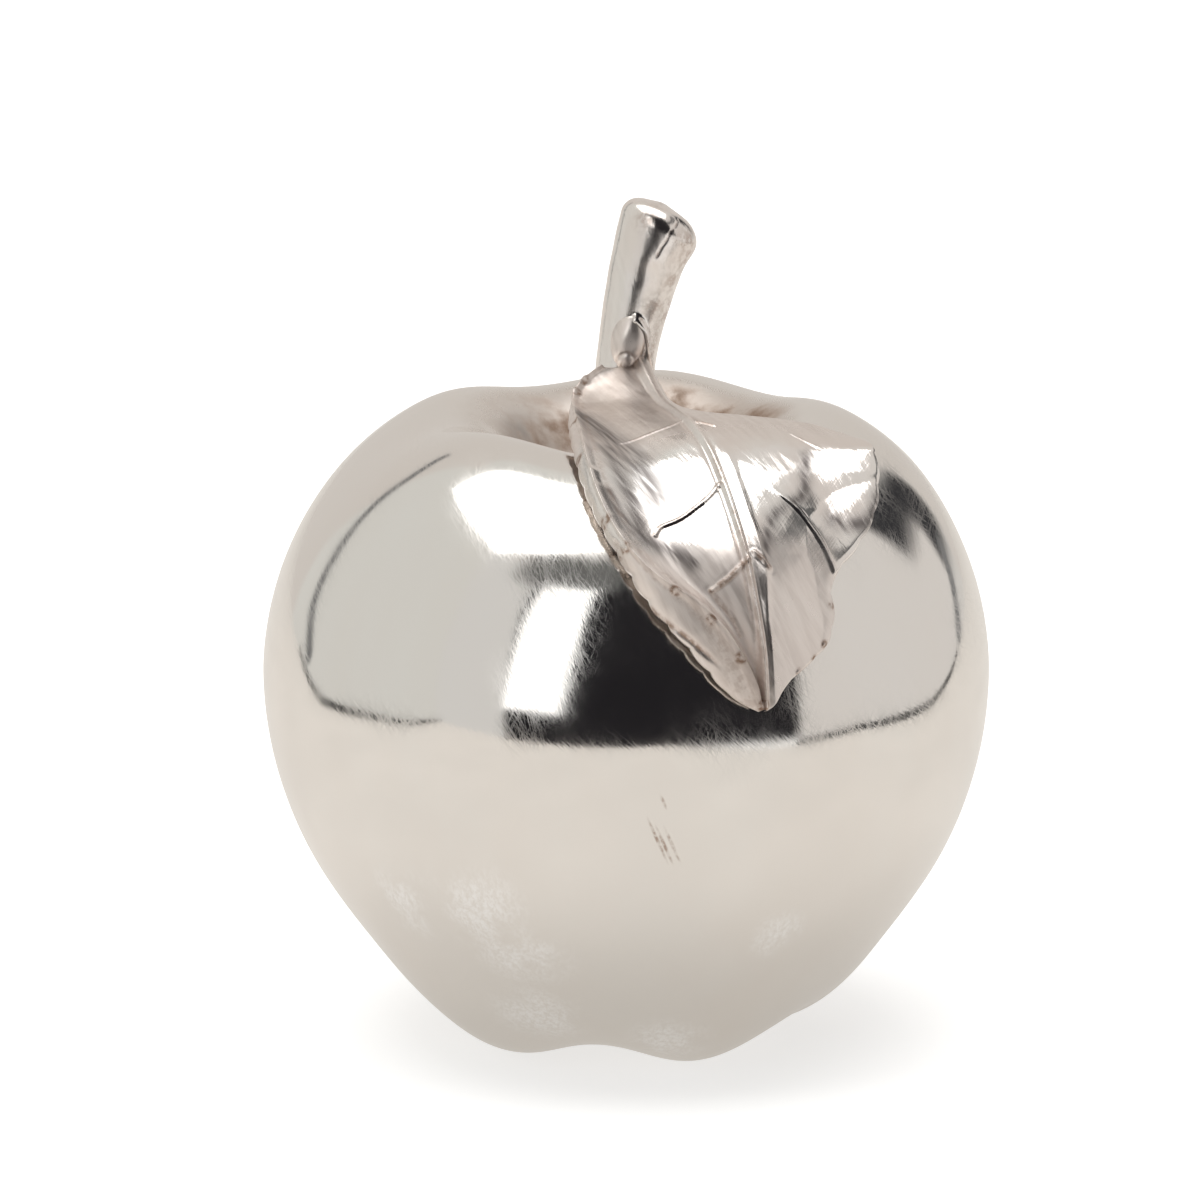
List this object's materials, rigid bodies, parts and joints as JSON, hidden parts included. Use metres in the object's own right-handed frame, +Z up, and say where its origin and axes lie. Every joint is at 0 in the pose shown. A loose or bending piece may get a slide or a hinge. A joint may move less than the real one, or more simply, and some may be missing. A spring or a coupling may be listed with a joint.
{
  "type": "apple ornament",
  "caption": "Polished silver apple ornament for a shelf or desk: hollow lobed body, cast leaning stem with a bud, and a draped, veined leaf with a serrated edge.",
  "frame": {"origin": "on the table plane under the middle of the body, at the centre of its footprint", "axes": "+Z up, the leaf hangs towards -Y and the stem leans towards +X"},
  "size_m": [0.087, 0.0883, 0.1016],
  "materials": {
    "body_silver": "mirror polish with fine hairline scratches",
    "hidden_silver": "unpolished, as pressed",
    "stem_silver": "polished casting",
    "leaf_silver": "polished casting, with brown tarnish left in the crevices",
    "fitting_steel": "plain"
  },
  "bodies": {
    "root": {"upper_shell": "body_silver", "lower_shell": "body_silver", "seam_band": "hidden_silver", "vent_plug": "hidden_silver", "stem": "stem_silver", "leaf_bud": "stem_silver", "leaf": "leaf_silver", "stem_stud": "fitting_steel", "basin_washer": "fitting_steel", "stem_nut": "fitting_steel"}
  },
  "joints": []
}
